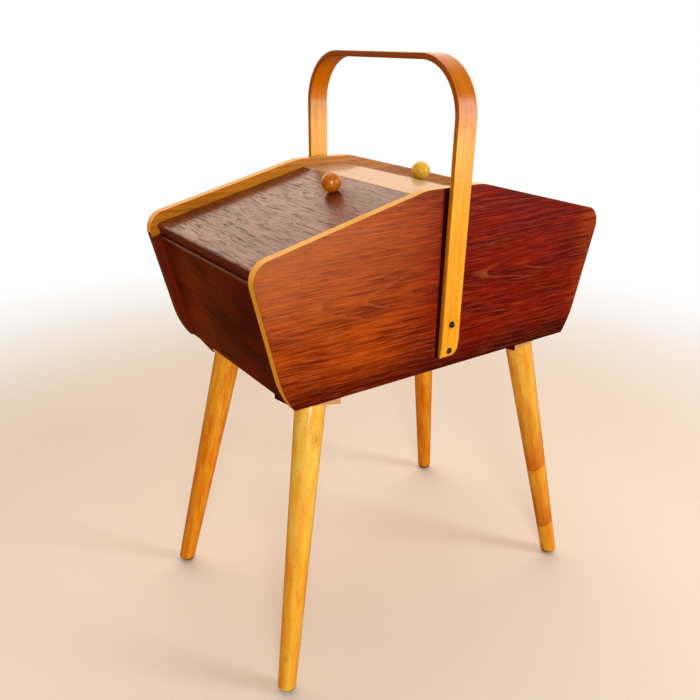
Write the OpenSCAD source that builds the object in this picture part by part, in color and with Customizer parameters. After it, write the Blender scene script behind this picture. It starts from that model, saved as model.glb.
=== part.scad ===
// Sewing carrier: a wooden box on four splayed legs, with a bent handle over it
// and two sloping lids that open outwards on long hinges. Millimetres.
// X runs along the box, Y from the front to the back, Z up from the floor.
// The origin is on the floor under the middle of the box.

/* [Body] */
// Length over the two pointed ends, before their corners are rounded
body_len = 450; // [400:5:500]
// Depth over the two side panels
body_depth = 240; // [210:2:270]
// Height of the pointed ends above the floor
corner_h = 461; // [440:1:480]
// Height of the box's underside above the floor
bottom_h = 320; // [290:1:340]
// Slope of the lids, and lean of the end panels, in degrees
lean = 13.8; // [12:0.1:15]
// Length of the flat ridge on the side panels
ridge_w = 72; // [66:1:84]
// Radius of the side panels' upper end corners
corner_r = 20; // [12:1:24]
// Radius of the soft corners at the ridge
ridge_r = 60; // [20:5:80]
// Radius of the curve that draws the side panels in at their feet
toe_r = 100; // [80:5:140]
// Length of that curve along the end edge
toe_len = 35; // [20:1:45]

/* [Panels] */
// Thickness of a side panel's light wood
side_t = 9.2; // [8:0.2:12]
// Thickness of the teak face on a side panel
veneer_t = 0.8; // [0.6:0.1:1.5]
// Thickness of an end panel
end_t = 10; // [9:0.5:12]
// How far the side panels stand out past the end panels
lip = 9; // [9:0.5:12]
// Thickness of the bottom panel
bottom_t = 9; // [8:0.5:12]
// Height and width of the cleats over the bottom panel
cleat = 10; // [6:1:14]
// Length of a cleat
cleat_len = 290; // [200:5:300]
// Width of a corner glue block
corner_block = 12; // [8:1:16]
// Distance of a corner glue block from the hinge above it and the bottom panel below
corner_block_gap = 12; // [6:1:20]

/* [Ridge] */
// Width of the ridge board between the lids
ridge_board_w = 60; // [52:1:64]
// Thickness of the ridge board
ridge_board_t = 10; // [8:0.5:11]
// Depth of the ridge board below the side panels' ridge
ridge_recess = 9; // [7:0.5:10]
// Radius of the ridge board's top edges
ridge_board_r = 1.5; // [0.5:0.25:3]
// Width of the ledge under each lid's free edge
rail_ledge = 12; // [8:1:16]
// Thickness of the rail under the ridge board
rail_t = 14; // [12:1:18]

/* [Lids] */
// Thickness of a lid
lid_t = 12; // [10:0.5:14]
// Depth of the lids below the side panels' edges
lid_recess = 10.5; // [9:0.5:12]
// Gap around a lid's free edge and sides
lid_gap = 0.8; // [0.5:0.1:1.5]
// How far a lid's outer edge lies inside the end panel's face
lid_set_in = 0.5; // [0.4:0.1:1.5]
// Radius of a lid's outer top edge
lid_r = 3; // [1:0.5:4]
// Gap between a lid and the ledge that carries it
lid_rest_gap = 0.2; // [0.1:0.1:0.5]

/* [Hinges] */
// Diameter of a hinge barrel
barrel_d = 3.4; // [3.2:0.1:4]
// Thickness of a hinge leaf
leaf_t = 0.7; // [0.6:0.05:0.8]
// Width of a hinge leaf from the barrel's middle
leaf_w = 11; // [10:0.5:11.5]
// Gap between the two leaves of a closed hinge
leaf_gap = 0.2; // [0.15:0.05:0.3]
// Diameter of a hinge pin
hinge_pin_d = 1.8; // [1.4:0.1:1.8]
// Number of knuckles along a hinge, an odd number
knuckles = 17; // [13:2:21]
// Gap between two knuckles
knuckle_gap = 0.2; // [0.15:0.05:0.4]
// Number of screws in a leaf
leaf_screws = 6; // [4:1:8]

/* [Knobs] */
// Diameter of a knob's ball
knob_d = 21; // [18:0.5:24]
// How much of the ball is cut away for its seat
knob_flat = 0.8; // [0.4:0.1:1.5]
// Distance from the left lid's free edge to the middle of its knob
knob_inset_left = 32; // [24:1:40]
// Distance from the right lid's free edge to the middle of its knob
knob_inset_right = 23.5; // [22:0.5:40]

/* [Handle] */
// Width of the bent strap
strap_w = 23.5; // [20:0.5:28]
// Thickness of the strap
strap_t = 6; // [5:0.5:8]
// Height of the strap's top above the side panels' ridge
handle_rise = 118; // [90:2:140]
// Outer radius of the strap's two bends
handle_r = 57; // [40:1:65]
// How far each side of the handle leans out below its bend
handle_lean = 3.4; // [0:0.2:6]
// Height of the strap's ends above the box's underside
strap_foot = 13; // [8:1:20]
// Thickness of the strap at its thinned ends
strap_tip_t = 4; // [3:0.5:5]
// Length over which the strap's ends are thinned
strap_tip_len = 18; // [12:1:22]
// Radius of the rounded corner at the strap's ends
strap_corner_r = 9; // [4:0.5:10]
// Height of the lower screw above the strap's end
strap_screw_low = 7; // [6:0.5:10]
// Distance between the two screws in a strap end
strap_screw_pitch = 29; // [25:1:36]

/* [Legs] */
// Distance from the box's lower end corner in to the middle of a leg's top
leg_in_x = 44; // [40:1:60]
// Distance from the box's face in to the middle of a leg's top
leg_in_y = 32.5; // [30:0.5:45]
// How far a foot stands out from its leg's top, along the box
leg_out_x = 59.5; // [30:0.5:70]
// How far a foot stands out from its leg's top, across the box
leg_out_y = 42.5; // [20:0.5:50]
// Diameter of a leg at its top
leg_top_d = 31; // [26:0.5:34]
// Diameter of a leg at its foot
leg_foot_d = 19; // [18:0.5:24]
// Radius of the rounded edge at a foot
leg_foot_r = 2; // [1:0.25:3]
// Thickness of a leg block over the middle of its leg
block_t = 13; // [12:0.5:16]
// Width of a leg block
block_w = 36; // [34:1:44]
// Length of a leg block from the leg's middle towards the box's middle
block_in = 24; // [22:1:30]
// Length of a leg block from the leg's middle towards the end
block_out = 30; // [22:1:31]

/* [Feet] */
// Diameter of a glide
glide_d = 16; // [12:0.5:17]
// Radius of a glide's domed face
glide_r = 12; // [10:0.5:14]
// Depth of the flat that the floor has worn on a glide
glide_wear = 0.4; // [0.2:0.05:0.5]
// Diameter of the nail that holds a glide
nail_d = 2.4; // [1.8:0.1:3]
// Length of that nail
nail_len = 12; // [8:1:16]

/* [Fasteners] */
// Diameter of the bolt between a leg and its block
bolt_d = 8; // [6:0.5:10]
// Length of the bolt in the leg
bolt_leg_len = 30; // [20:1:40]
// Outer diameter of the threaded insert in a block
insert_d = 12; // [11.5:0.5:14]
// Length of the threaded insert
insert_len = 10; // [8:0.5:10.5]
// Diameter of a handle screw's shank
handle_screw_d = 4; // [3:0.5:5]
// Diameter of a handle screw's domed head
handle_screw_head_d = 7.5; // [6.5:0.5:9]
// Height of that head
handle_screw_head_h = 2.6; // [2:0.2:3]
// Length of a handle screw below its head
handle_screw_len = 13; // [11:0.5:14]
// Diameter of the screw that holds a knob
knob_screw_d = 4; // [3:0.5:5]
// Depth of that screw in the knob
knob_screw_depth = 11; // [8:0.5:12]
// Diameter of that screw's domed head
knob_screw_head_d = 8; // [6.5:0.5:9]
// Height of that head
knob_screw_head_h = 2.6; // [2:0.2:3]
// Diameter of a small countersunk screw's shank
small_screw_d = 2.5; // [2:0.1:3]
// Diameter of a small countersunk screw's head
small_screw_head_d = 5; // [4.4:0.2:5.6]
// Length of a hinge screw
hinge_screw_len = 9; // [6:0.5:10]
// Length of a screw between the bottom panel and a leg block
block_screw_len = 13; // [11:0.5:13.5]
// Distance of that screw from its block's end
block_screw_margin = 8; // [6:0.5:9]
// Radial clearance around every shank, bolt and pin
fit = 0.05; // [0.02:0.01:0.08]

/* [Hidden] */
$fn = 72;

LEFT = -1;
RIGHT = 1;
FRONT = -1;
REAR = 1;

// Colours, as they show on the object
TEAK = "#8a3a16";
DARK_TEAK = "#5e2410";
LIGHT_WOOD = "#d9a25a";
LACQUERED_WOOD = "#e0942f";
PALE_WOOD = "#e6c493";
KNOB_WOOD = "#b8620f";
BRASS = "#b8934a";
BLACK_STEEL = "#2a1a16";
ZINC = "#8d8d8f";
GLIDE = "#3a2012";

// Anything longer than the object, for cuts that run right through
far = 2 * (body_len + corner_h);
// A cut runs this far past a face so that no skin is left
over = 1;

// Steps in the drawn curves
corner_steps = 16;
ridge_steps = 6;
toe_steps = 10;
bend_steps = 30;

// Width and depth of a screw's slot, as shares of its head's diameter
slot_width_share = 0.14;
slot_depth_share = 0.08;

// The box's outline
half_len = body_len / 2;
half_depth = body_depth / 2;
half_ridge = ridge_w / 2;
ridge_h = corner_h + (half_len - half_ridge) * tan(lean);
half_bottom = half_len - (corner_h - bottom_h) * tan(lean);
core_y = half_depth - veneer_t;
inner_y = core_y - side_t;

// The ridge
board_top = ridge_h - ridge_recess;
board_under = board_top - ridge_board_t;
rail_under = board_under - rail_t;
board_half = ridge_board_w / 2;

// The lids and hinges, in the end's own frame: a runs from the pointed end up
// along the slope, and d is the depth square to the slope
lid_under = lid_recess + lid_t;
hinge_gap = 2 * leaf_t + leaf_gap;
panel_top = lid_under + hinge_gap;
axis_d = lid_under + hinge_gap / 2;
barrel_r = barrel_d / 2;
barrel_reach = sqrt(pow(barrel_r + fit, 2) - pow(hinge_gap / 2, 2));
axis_a = lip - barrel_reach - fit;
lid_a = lip + lid_set_in;
lid_w = 2 * (inner_y - lid_gap);
hinge_len = lid_w;
knuckle_len = hinge_len / knuckles;
lid_edge_x = board_half + lid_gap;
screw_a = lip + end_t / 2;
leaf_screw_step = hinge_len / leaf_screws;

// The corner glue blocks, from under the hinge down to over the bottom panel
corner_block_a = lip + end_t;
corner_block_top = panel_top + corner_block_gap;
corner_block_low = (corner_h + corner_block_a * sin(lean) - bottom_h - bottom_t - corner_block_gap)
    / cos(lean);

// The knobs
knob_r = knob_d / 2;
knob_lift = knob_r - knob_flat;
lid_edge_a = (half_len - lid_edge_x - lid_recess * sin(lean)) / cos(lean);
function knob_a(side) = lid_edge_a - (side > 0 ? knob_inset_right : knob_inset_left);

// The handle
handle_top = ridge_h + handle_rise;
strap_end_z = bottom_h + strap_foot;
screw_low_z = strap_end_z + strap_screw_low;
screw_high_z = screw_low_z + strap_screw_pitch;
strap_free_z = screw_high_z + handle_screw_head_d;
strap_out_y = half_depth + strap_t;
tip_slope = (strap_t - strap_tip_t) / strap_tip_len;
seat_margin = 0.4;
seat_r = handle_screw_head_d / 2 + seat_margin;
low_seat_y = half_depth + strap_tip_t + max(0, tip_slope * (strap_screw_low - seat_r));

// The legs
leg_top = [half_bottom - leg_in_x, half_depth - leg_in_y, bottom_h - block_t];
leg_run = norm([leg_out_x, leg_out_y, leg_top[2]]);
leg_tilt = acos(leg_top[2] / leg_run);
glide_mid = leg_run * (1 - (glide_r - glide_wear) / leg_top[2]);
glide_base = sqrt(pow(glide_r, 2) - pow(glide_d / 2, 2));
leg_len = glide_mid + glide_base;

// A drawn shape, standing in the XZ plane and w deep across the box
module across(w) {
    translate([0, w / 2, 0]) rotate([90, 0, 0]) linear_extrude(w) children();
}

// The frame of one end: X runs up the slope, Z stands square to it
module at_end(side) {
    mirror([side > 0 ? 1 : 0, 0, 0])
        translate([-half_len, 0, corner_h]) rotate([0, -lean, 0]) children();
}

// The frame of one leg: its origin is the middle of the leg's top, and the leg
// hangs down along its own Z
module at_leg(sx, sy) {
    translate([sx * leg_top[0], sy * leg_top[1], leg_top[2]])
        rotate([0, leg_tilt, atan2(-sy * leg_out_y, -sx * leg_out_x)]) children();
}

module each_leg() {
    for (sx = [LEFT, RIGHT], sy = [FRONT, REAR]) at_leg(sx, sy) children();
}

// All that lies below a height, for a level cut
module below(h) {
    translate([-far / 2, -far / 2, h - far]) cube(far);
}

// A square of side r with its inner corner hollowed: what a rounded corner loses
module corner_waste(r) {
    difference() {
        square(r + over);
        circle(r);
    }
}

// A small countersunk screw standing on its tip, with its head's top at z = 0
module small_screw(len, grow = 0) {
    head_r = small_screw_head_d / 2;
    shank_r = small_screw_d / 2;
    cone_h = head_r - shank_r;
    translate([0, 0, -len]) cylinder(r = shank_r + grow, h = len);
    translate([0, 0, -cone_h - grow])
        cylinder(r1 = shank_r + grow, r2 = head_r + 2 * grow, h = cone_h + grow);
}

// A small screw with the slot that a driver turns it by
module slotted_small_screw(len) {
    slot_w = small_screw_head_d * slot_width_share;
    slot_h = small_screw_head_d * slot_depth_share;
    difference() {
        small_screw(len);
        translate([-small_screw_head_d, -slot_w / 2, -slot_h])
            cube([2 * small_screw_head_d, slot_w, slot_h + over]);
    }
}

// The middle of a corner's rounding: r in from the two edges that meet there
function round_mid(before, corner, after, r) =
    let (u = (before - corner) / norm(before - corner),
         v = (after - corner) / norm(after - corner))
    corner + (u + v) / norm(u + v) * r / sin(acos(u * v) / 2);

// The points of a corner's rounding, on the way from before to after
function rounded(before, corner, after, r, steps) =
    let (u = (before - corner) / norm(before - corner),
         v = (after - corner) / norm(after - corner),
         turn = 180 - acos(u * v),
         way = sign(cross(u, v)),
         mid = round_mid(before, corner, after, r),
         start = corner + u * r / tan(acos(u * v) / 2) - mid,
         first = atan2(start[1], start[0]))
    [for (i = [0:steps]) let (t = first - way * turn * i / steps) mid + r * [cos(t), sin(t)]];

// The curve that draws a side panel in at its foot, from the bottom edge upwards
function toe() =
    let (tangent = [-half_bottom, bottom_h] + toe_len * [-sin(lean), cos(lean)],
         mid = tangent + toe_r * [cos(lean), sin(lean)],
         low = asin((mid[1] - bottom_h) / toe_r))
    [for (i = [0:toe_steps]) let (t = 180 + low + (lean - low) * i / toe_steps)
        mid + toe_r * [cos(t), sin(t)]];

// A line of points with its mirror image, as one closed outline
function both_sides(half) =
    concat(half, [for (i = [len(half) - 1:-1:0]) [-half[i][0], half[i][1]]]);

module side_outline() {
    end_low = [-half_bottom, bottom_h];
    end_top = [-half_len, corner_h];
    ridge_left = [-half_ridge, ridge_h];
    ridge_right = [half_ridge, ridge_h];
    polygon(both_sides(concat(toe(),
        rounded(end_low, end_top, ridge_left, corner_r, corner_steps),
        rounded(end_top, ridge_left, ridge_right, ridge_r, ridge_steps))));
}

module handle_screw_bores(sy) {
    for (z = [screw_low_z, screw_high_z])
        translate([0, sy * (strap_out_y + over), z]) rotate([sy * 90, 0, 0])
            cylinder(d = handle_screw_d + 2 * fit, h = handle_screw_len + strap_t);
}

module side_panel(sy) {
    color(LIGHT_WOOD) difference() {
        translate([0, sy * (inner_y + side_t / 2), 0]) across(side_t) side_outline();
        handle_screw_bores(sy);
    }
}

module teak_face(sy) {
    color(TEAK) difference() {
        translate([0, sy * (core_y + veneer_t / 2), 0]) across(veneer_t) side_outline();
        handle_screw_bores(sy);
    }
}

// The slab between an end panel's two faces, running down past the bottom
module end_slab(from_a, to_a, w, top) {
    translate([from_a, -w / 2, -corner_h]) cube([to_a - from_a, w, corner_h - top]);
}

module end_panel(side) {
    color(DARK_TEAK) difference() {
        at_end(side) end_slab(lip, lip + end_t, 2 * inner_y, panel_top);
        below(bottom_h);
        at_end(side) panel_screw_places() small_screw(hinge_screw_len, fit);
    }
}

module bottom_panel() {
    color(LIGHT_WOOD) difference() {
        translate([-half_bottom, -inner_y, bottom_h])
            cube([2 * half_bottom, 2 * inner_y, bottom_t]);
        for (side = [LEFT, RIGHT])
            at_end(side) end_slab(-half_bottom, lip + end_t, 2 * half_depth, 0);
        block_screw_places() small_screw(block_screw_len, fit);
    }
}

module bottom_cleats() {
    color(PALE_WOOD) for (sy = [FRONT, REAR])
        translate([0, sy * (inner_y - cleat / 2), bottom_h + bottom_t + cleat / 2])
            cube([cleat_len, cleat, cleat], center = true);
}

module corner_blocks() {
    color(PALE_WOOD) for (side = [LEFT, RIGHT], sy = [FRONT, REAR])
        at_end(side)
            translate([corner_block_a, sy * (inner_y - corner_block / 2) - corner_block / 2,
                       -corner_block_low])
                cube([corner_block, corner_block, corner_block_low - corner_block_top]);
}

module ridge_board() {
    color(PALE_WOOD) across(2 * inner_y) difference() {
        translate([-board_half, board_under]) square([ridge_board_w, ridge_board_t]);
        for (m = [0, 1]) mirror([m, 0])
            translate([board_half - ridge_board_r, board_top - ridge_board_r])
                corner_waste(ridge_board_r);
    }
}

// Height of the lids' underside over a point x out from the middle
function ledge_z(x) = corner_h + (half_len - x) * tan(lean)
    - (lid_under + lid_rest_gap) / cos(lean);

module ridge_rail() {
    ledge_x = board_half + rail_ledge;
    color(LIGHT_WOOD) across(2 * inner_y) polygon(both_sides([
        [board_half, board_under], [board_half, ledge_z(board_half)],
        [ledge_x, ledge_z(ledge_x)], [ledge_x, rail_under]]));
}

module lid_profile() {
    difference() {
        translate([lid_a, -lid_under]) square([half_len / cos(lean), lid_t]);
        translate([lid_a + lid_r, -lid_recess - lid_r]) mirror([1, 0]) corner_waste(lid_r);
    }
}

module lid(side) {
    color(TEAK) difference() {
        at_end(side) across(lid_w) lid_profile();
        translate([side > 0 ? -far + lid_edge_x : -lid_edge_x, -far / 2, 0])
            cube([far, far, far]);
        at_end(side) {
            lid_screw_places() mirror([0, 0, 1]) small_screw(hinge_screw_len, fit);
            translate([knob_a(side), 0, -lid_under - over])
                cylinder(d = knob_screw_d + 2 * fit, h = lid_t + 2 * over);
        }
    }
}

// Places of the screws along a hinge leaf
module along_leaf() {
    for (i = [0:leaf_screws - 1])
        translate([0, (i + 0.5) * leaf_screw_step - hinge_len / 2, 0]) children();
}

module panel_screw_places() {
    along_leaf() translate([screw_a, 0, -panel_top + leaf_t]) children();
}

module lid_screw_places() {
    along_leaf() translate([screw_a, 0, -lid_under - leaf_t]) children();
}

// Knuckles of one leaf: the even ones are the panel's, the odd ones the lid's
module knuckle_row(first, r, grow) {
    for (i = [first:2:knuckles - 1])
        translate([axis_a, i * knuckle_len - hinge_len / 2 + knuckle_gap / 2 - grow, -axis_d])
            rotate([-90, 0, 0]) cylinder(r = r, h = knuckle_len - knuckle_gap + 2 * grow);
}

// One leaf lying flat, with its knuckles and with room for the other leaf's
module hinge_leaf(own, other, low) {
    difference() {
        union() {
            translate([axis_a, -hinge_len / 2 + knuckle_gap / 2, low])
                cube([leaf_w, hinge_len - knuckle_gap, leaf_t]);
            knuckle_row(own, barrel_r, 0);
        }
        knuckle_row(other, barrel_r + 2 * leaf_gap, knuckle_gap);
        translate([axis_a, -hinge_len / 2 - over, -axis_d]) rotate([-90, 0, 0])
            cylinder(d = hinge_pin_d + 2 * fit, h = hinge_len + 2 * over);
    }
}

module hinge_panel_leaf(side) {
    color(BRASS) at_end(side) difference() {
        hinge_leaf(0, 1, -panel_top);
        panel_screw_places() small_screw(hinge_screw_len, fit);
    }
}

module hinge_lid_leaf(side) {
    color(BRASS) at_end(side) difference() {
        hinge_leaf(1, 0, -lid_under - leaf_t);
        lid_screw_places() mirror([0, 0, 1]) small_screw(hinge_screw_len, fit);
    }
}

module hinge_pin(side) {
    color(BRASS) at_end(side)
        translate([axis_a, -hinge_len / 2 + knuckle_gap / 2, -axis_d]) rotate([-90, 0, 0])
            cylinder(d = hinge_pin_d, h = hinge_len - knuckle_gap);
}

module hinge_panel_screws(side) {
    color(BRASS) at_end(side) panel_screw_places() slotted_small_screw(hinge_screw_len);
}

module hinge_lid_screws(side) {
    color(BRASS) at_end(side) lid_screw_places() mirror([0, 0, 1])
        slotted_small_screw(hinge_screw_len);
}

module knob(side) {
    color(side > 0 ? LACQUERED_WOOD : KNOB_WOOD) at_end(side) difference() {
        translate([knob_a(side), 0, knob_lift - lid_recess]) sphere(knob_r);
        translate([knob_a(side) - knob_d, -knob_d, -lid_recess - knob_d])
            cube([2 * knob_d, 2 * knob_d, knob_d]);
        translate([knob_a(side), 0, -lid_recess - over])
            cylinder(d = knob_screw_d + 2 * fit, h = knob_screw_depth + fit + over);
    }
}

module knob_screw(side) {
    color(ZINC) at_end(side) translate([knob_a(side), 0, -lid_under]) {
        cylinder(d = knob_screw_d, h = lid_t + knob_screw_depth);
        mirror([0, 0, 1]) round_head(knob_screw_head_d, knob_screw_head_h);
    }
}

// A domed screw head on the plane z = 0, with a slot across it
module round_head(d, h) {
    dome_r = (pow(d / 2, 2) + h * h) / (2 * h);
    slot_w = d * slot_width_share;
    difference() {
        intersection() {
            translate([0, 0, h - dome_r]) sphere(dome_r);
            cylinder(d = d, h = h + over);
        }
        translate([-d, -slot_w / 2, h / 2]) cube([2 * d, slot_w, h]);
    }
}

// The handle's outline seen from the end of the box, t out from the strap's inside
// and down to the height end_z
module arch(t, end_z) {
    foot = [half_depth + t, end_z];
    free = [half_depth + t, strap_free_z];
    bend = [half_depth + t + handle_lean, handle_top - strap_t + t];
    polygon(both_sides(concat([foot, free],
        rounded(free, bend, [0, bend[1]], handle_r - strap_t + t, bend_steps))));
}

// The wedge that thins a strap end, seen from the end of the box
module tip_waste() {
    polygon([[half_depth + strap_tip_t, strap_end_z], [strap_out_y, strap_end_z + strap_tip_len],
             [strap_out_y + over, strap_end_z + strap_tip_len],
             [strap_out_y + over, strap_end_z - over],
             [half_depth + strap_tip_t, strap_end_z - over]]);
}

module handle() {
    color(LACQUERED_WOOD) difference() {
        rotate([90, 0, 90]) translate([0, 0, -strap_w / 2]) linear_extrude(strap_w)
            difference() {
                arch(strap_t, strap_end_z);
                arch(0, strap_end_z - over);
                for (m = [0, 1]) mirror([m, 0]) tip_waste();
            }
        across(far) translate([strap_w / 2 - strap_corner_r, strap_end_z + strap_corner_r])
            mirror([0, 1]) corner_waste(strap_corner_r);
        for (sy = [FRONT, REAR]) {
            handle_screw_bores(sy);
            translate([0, sy * low_seat_y, screw_low_z]) rotate([-sy * 90, 0, 0])
                cylinder(r = seat_r, h = strap_t);
        }
    }
}

module handle_screws() {
    color(BLACK_STEEL) for (sy = [FRONT, REAR])
        for (place = [[low_seat_y, screw_low_z], [strap_out_y, screw_high_z]])
            translate([0, sy * place[0], place[1]]) rotate([-sy * 90, 0, 0]) {
                round_head(handle_screw_head_d, handle_screw_head_h);
                mirror([0, 0, 1]) cylinder(d = handle_screw_d, h = handle_screw_len);
            }
}

module leg(sx, sy) {
    r_top = leg_top_d / 2;
    r_foot = leg_foot_d / 2;
    color(LACQUERED_WOOD) at_leg(sx, sy) difference() {
        rotate_extrude() difference() {
            polygon([[0, 0], [r_top, 0], [r_foot, -leg_len], [0, -leg_len]]);
            translate([r_foot - leg_foot_r, leg_foot_r - leg_len])
                mirror([0, 1]) corner_waste(leg_foot_r);
        }
        translate([0, 0, -bolt_leg_len - fit])
            cylinder(d = bolt_d + 2 * fit, h = bolt_leg_len + over);
        translate([0, 0, -leg_len - over])
            cylinder(d = nail_d + 2 * fit, h = nail_len + fit + over);
    }
}

module leg_block(sx, sy) {
    low = bottom_h - 2 * block_t;
    x = sx > 0 ? leg_top[0] - block_in : -leg_top[0] - block_out;
    color(PALE_WOOD) difference() {
        translate([x, sy * leg_top[1] - block_w / 2, low])
            cube([block_in + block_out, block_w, bottom_h - low]);
        at_leg(sx, sy) {
            translate([-far / 2, -far / 2, -far]) cube(far);
            translate([0, 0, -over]) cylinder(d = insert_d + 2 * fit, h = insert_len + fit + over);
        }
        block_screw_places() small_screw(block_screw_len, fit);
    }
}

// Two screws go down into each block from inside the box
module block_screw_places() {
    for (sx = [LEFT, RIGHT], sy = [FRONT, REAR],
         x = [block_screw_margin - block_in, block_out - block_screw_margin])
        translate([sx * (leg_top[0] + x), sy * leg_top[1], bottom_h + bottom_t]) children();
}

module leg_bolts() {
    color(ZINC) each_leg() translate([0, 0, -bolt_leg_len])
        cylinder(d = bolt_d, h = bolt_leg_len + insert_len);
}

module leg_inserts() {
    color(BRASS) each_leg() difference() {
        cylinder(d = insert_d, h = insert_len);
        translate([0, 0, -over]) cylinder(d = bolt_d + 2 * fit, h = insert_len + 2 * over);
    }
}

module leg_glides() {
    color(GLIDE) difference() {
        each_leg() {
            intersection() {
                translate([0, 0, -glide_mid]) sphere(glide_r);
                translate([0, 0, -glide_mid - glide_r - over])
                    cylinder(d = glide_d + over, h = glide_r - glide_base + over);
            }
            translate([0, 0, -leg_len - over]) cylinder(d = nail_d, h = nail_len + over);
        }
        below(0);
    }
}

module leg_block_screws() {
    color(ZINC) block_screw_places() slotted_small_screw(block_screw_len);
}

side_panel(FRONT);  // side_panel_front
side_panel(REAR);  // side_panel_rear
teak_face(FRONT);  // teak_face_front
teak_face(REAR);  // teak_face_rear
end_panel(LEFT);  // end_panel_left
end_panel(RIGHT);  // end_panel_right
bottom_panel();
bottom_cleats();
corner_blocks();
ridge_board();
ridge_rail();
lid(LEFT);  // lid_left
lid(RIGHT);  // lid_right
hinge_panel_leaf(LEFT);  // hinge_left_panel_leaf
hinge_lid_leaf(LEFT);  // hinge_left_lid_leaf
hinge_pin(LEFT);  // hinge_left_pin
hinge_panel_screws(LEFT);  // hinge_left_panel_screws
hinge_lid_screws(LEFT);  // hinge_left_lid_screws
hinge_panel_leaf(RIGHT);  // hinge_right_panel_leaf
hinge_lid_leaf(RIGHT);  // hinge_right_lid_leaf
hinge_pin(RIGHT);  // hinge_right_pin
hinge_panel_screws(RIGHT);  // hinge_right_panel_screws
hinge_lid_screws(RIGHT);  // hinge_right_lid_screws
knob(LEFT);  // knob_left
knob(RIGHT);  // knob_right
knob_screw(LEFT);  // knob_screw_left
knob_screw(RIGHT);  // knob_screw_right
handle();
handle_screws();
leg(LEFT, FRONT);  // leg_front_left
leg(RIGHT, FRONT);  // leg_front_right
leg(LEFT, REAR);  // leg_rear_left
leg(RIGHT, REAR);  // leg_rear_right
leg_block(LEFT, FRONT);  // leg_block_front_left
leg_block(RIGHT, FRONT);  // leg_block_front_right
leg_block(LEFT, REAR);  // leg_block_rear_left
leg_block(RIGHT, REAR);  // leg_block_rear_right
leg_bolts();
leg_inserts();
leg_glides();
leg_block_screws();
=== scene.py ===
from math import atan2, cos, hypot, pi, radians, sin, tan

import bmesh
import bpy
from mathutils import Matrix, Vector


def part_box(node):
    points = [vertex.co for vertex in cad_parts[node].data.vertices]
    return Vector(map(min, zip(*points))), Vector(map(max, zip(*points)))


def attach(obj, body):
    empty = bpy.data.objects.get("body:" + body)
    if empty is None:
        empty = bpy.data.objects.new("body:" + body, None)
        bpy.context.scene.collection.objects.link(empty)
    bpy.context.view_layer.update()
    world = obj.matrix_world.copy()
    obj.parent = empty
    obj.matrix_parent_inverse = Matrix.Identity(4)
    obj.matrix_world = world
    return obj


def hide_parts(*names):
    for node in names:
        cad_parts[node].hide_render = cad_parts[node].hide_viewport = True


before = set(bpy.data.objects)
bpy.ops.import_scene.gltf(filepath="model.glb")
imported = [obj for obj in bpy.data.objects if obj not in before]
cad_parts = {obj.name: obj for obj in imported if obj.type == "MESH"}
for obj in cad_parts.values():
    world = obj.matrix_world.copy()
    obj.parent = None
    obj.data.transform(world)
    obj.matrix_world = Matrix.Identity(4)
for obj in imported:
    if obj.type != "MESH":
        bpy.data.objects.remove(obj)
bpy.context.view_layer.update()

# Side panels. Each is one six-sided board of beech, sawn to the outline of the box, with its
# edges eased by hand and the whole lacquered clear, which turned the beech honey-coloured.
MM = 0.001
EASED_EDGE = 0.7 * MM
BEECH_LIGHT = "#E0921E"
BEECH_DARK = "#9C4C0A"
BEECH_FLECK = "#8A4A10"


def linear(hex_colour, alpha=1.0):
    """A hex colour, as it looks on a screen, in the linear light that shaders take."""
    parts = [int(hex_colour[i:i + 2], 16) / 255 for i in (1, 3, 5)]
    return [c / 12.92 if c <= 0.04045 else ((c + 0.055) / 1.055) ** 2.4 for c in parts] + [alpha]


def add(tree, kind, inputs=None, **settings):
    """Adds one node with its settings, and sets or links its inputs."""
    node = tree.nodes.new("ShaderNode" + kind)
    for name, value in settings.items():
        setattr(node, name, value)
    for name, value in (inputs or {}).items():
        if isinstance(value, bpy.types.NodeSocket):
            tree.links.new(value, node.inputs[name])
        else:
            node.inputs[name].default_value = value
    return node


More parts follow.
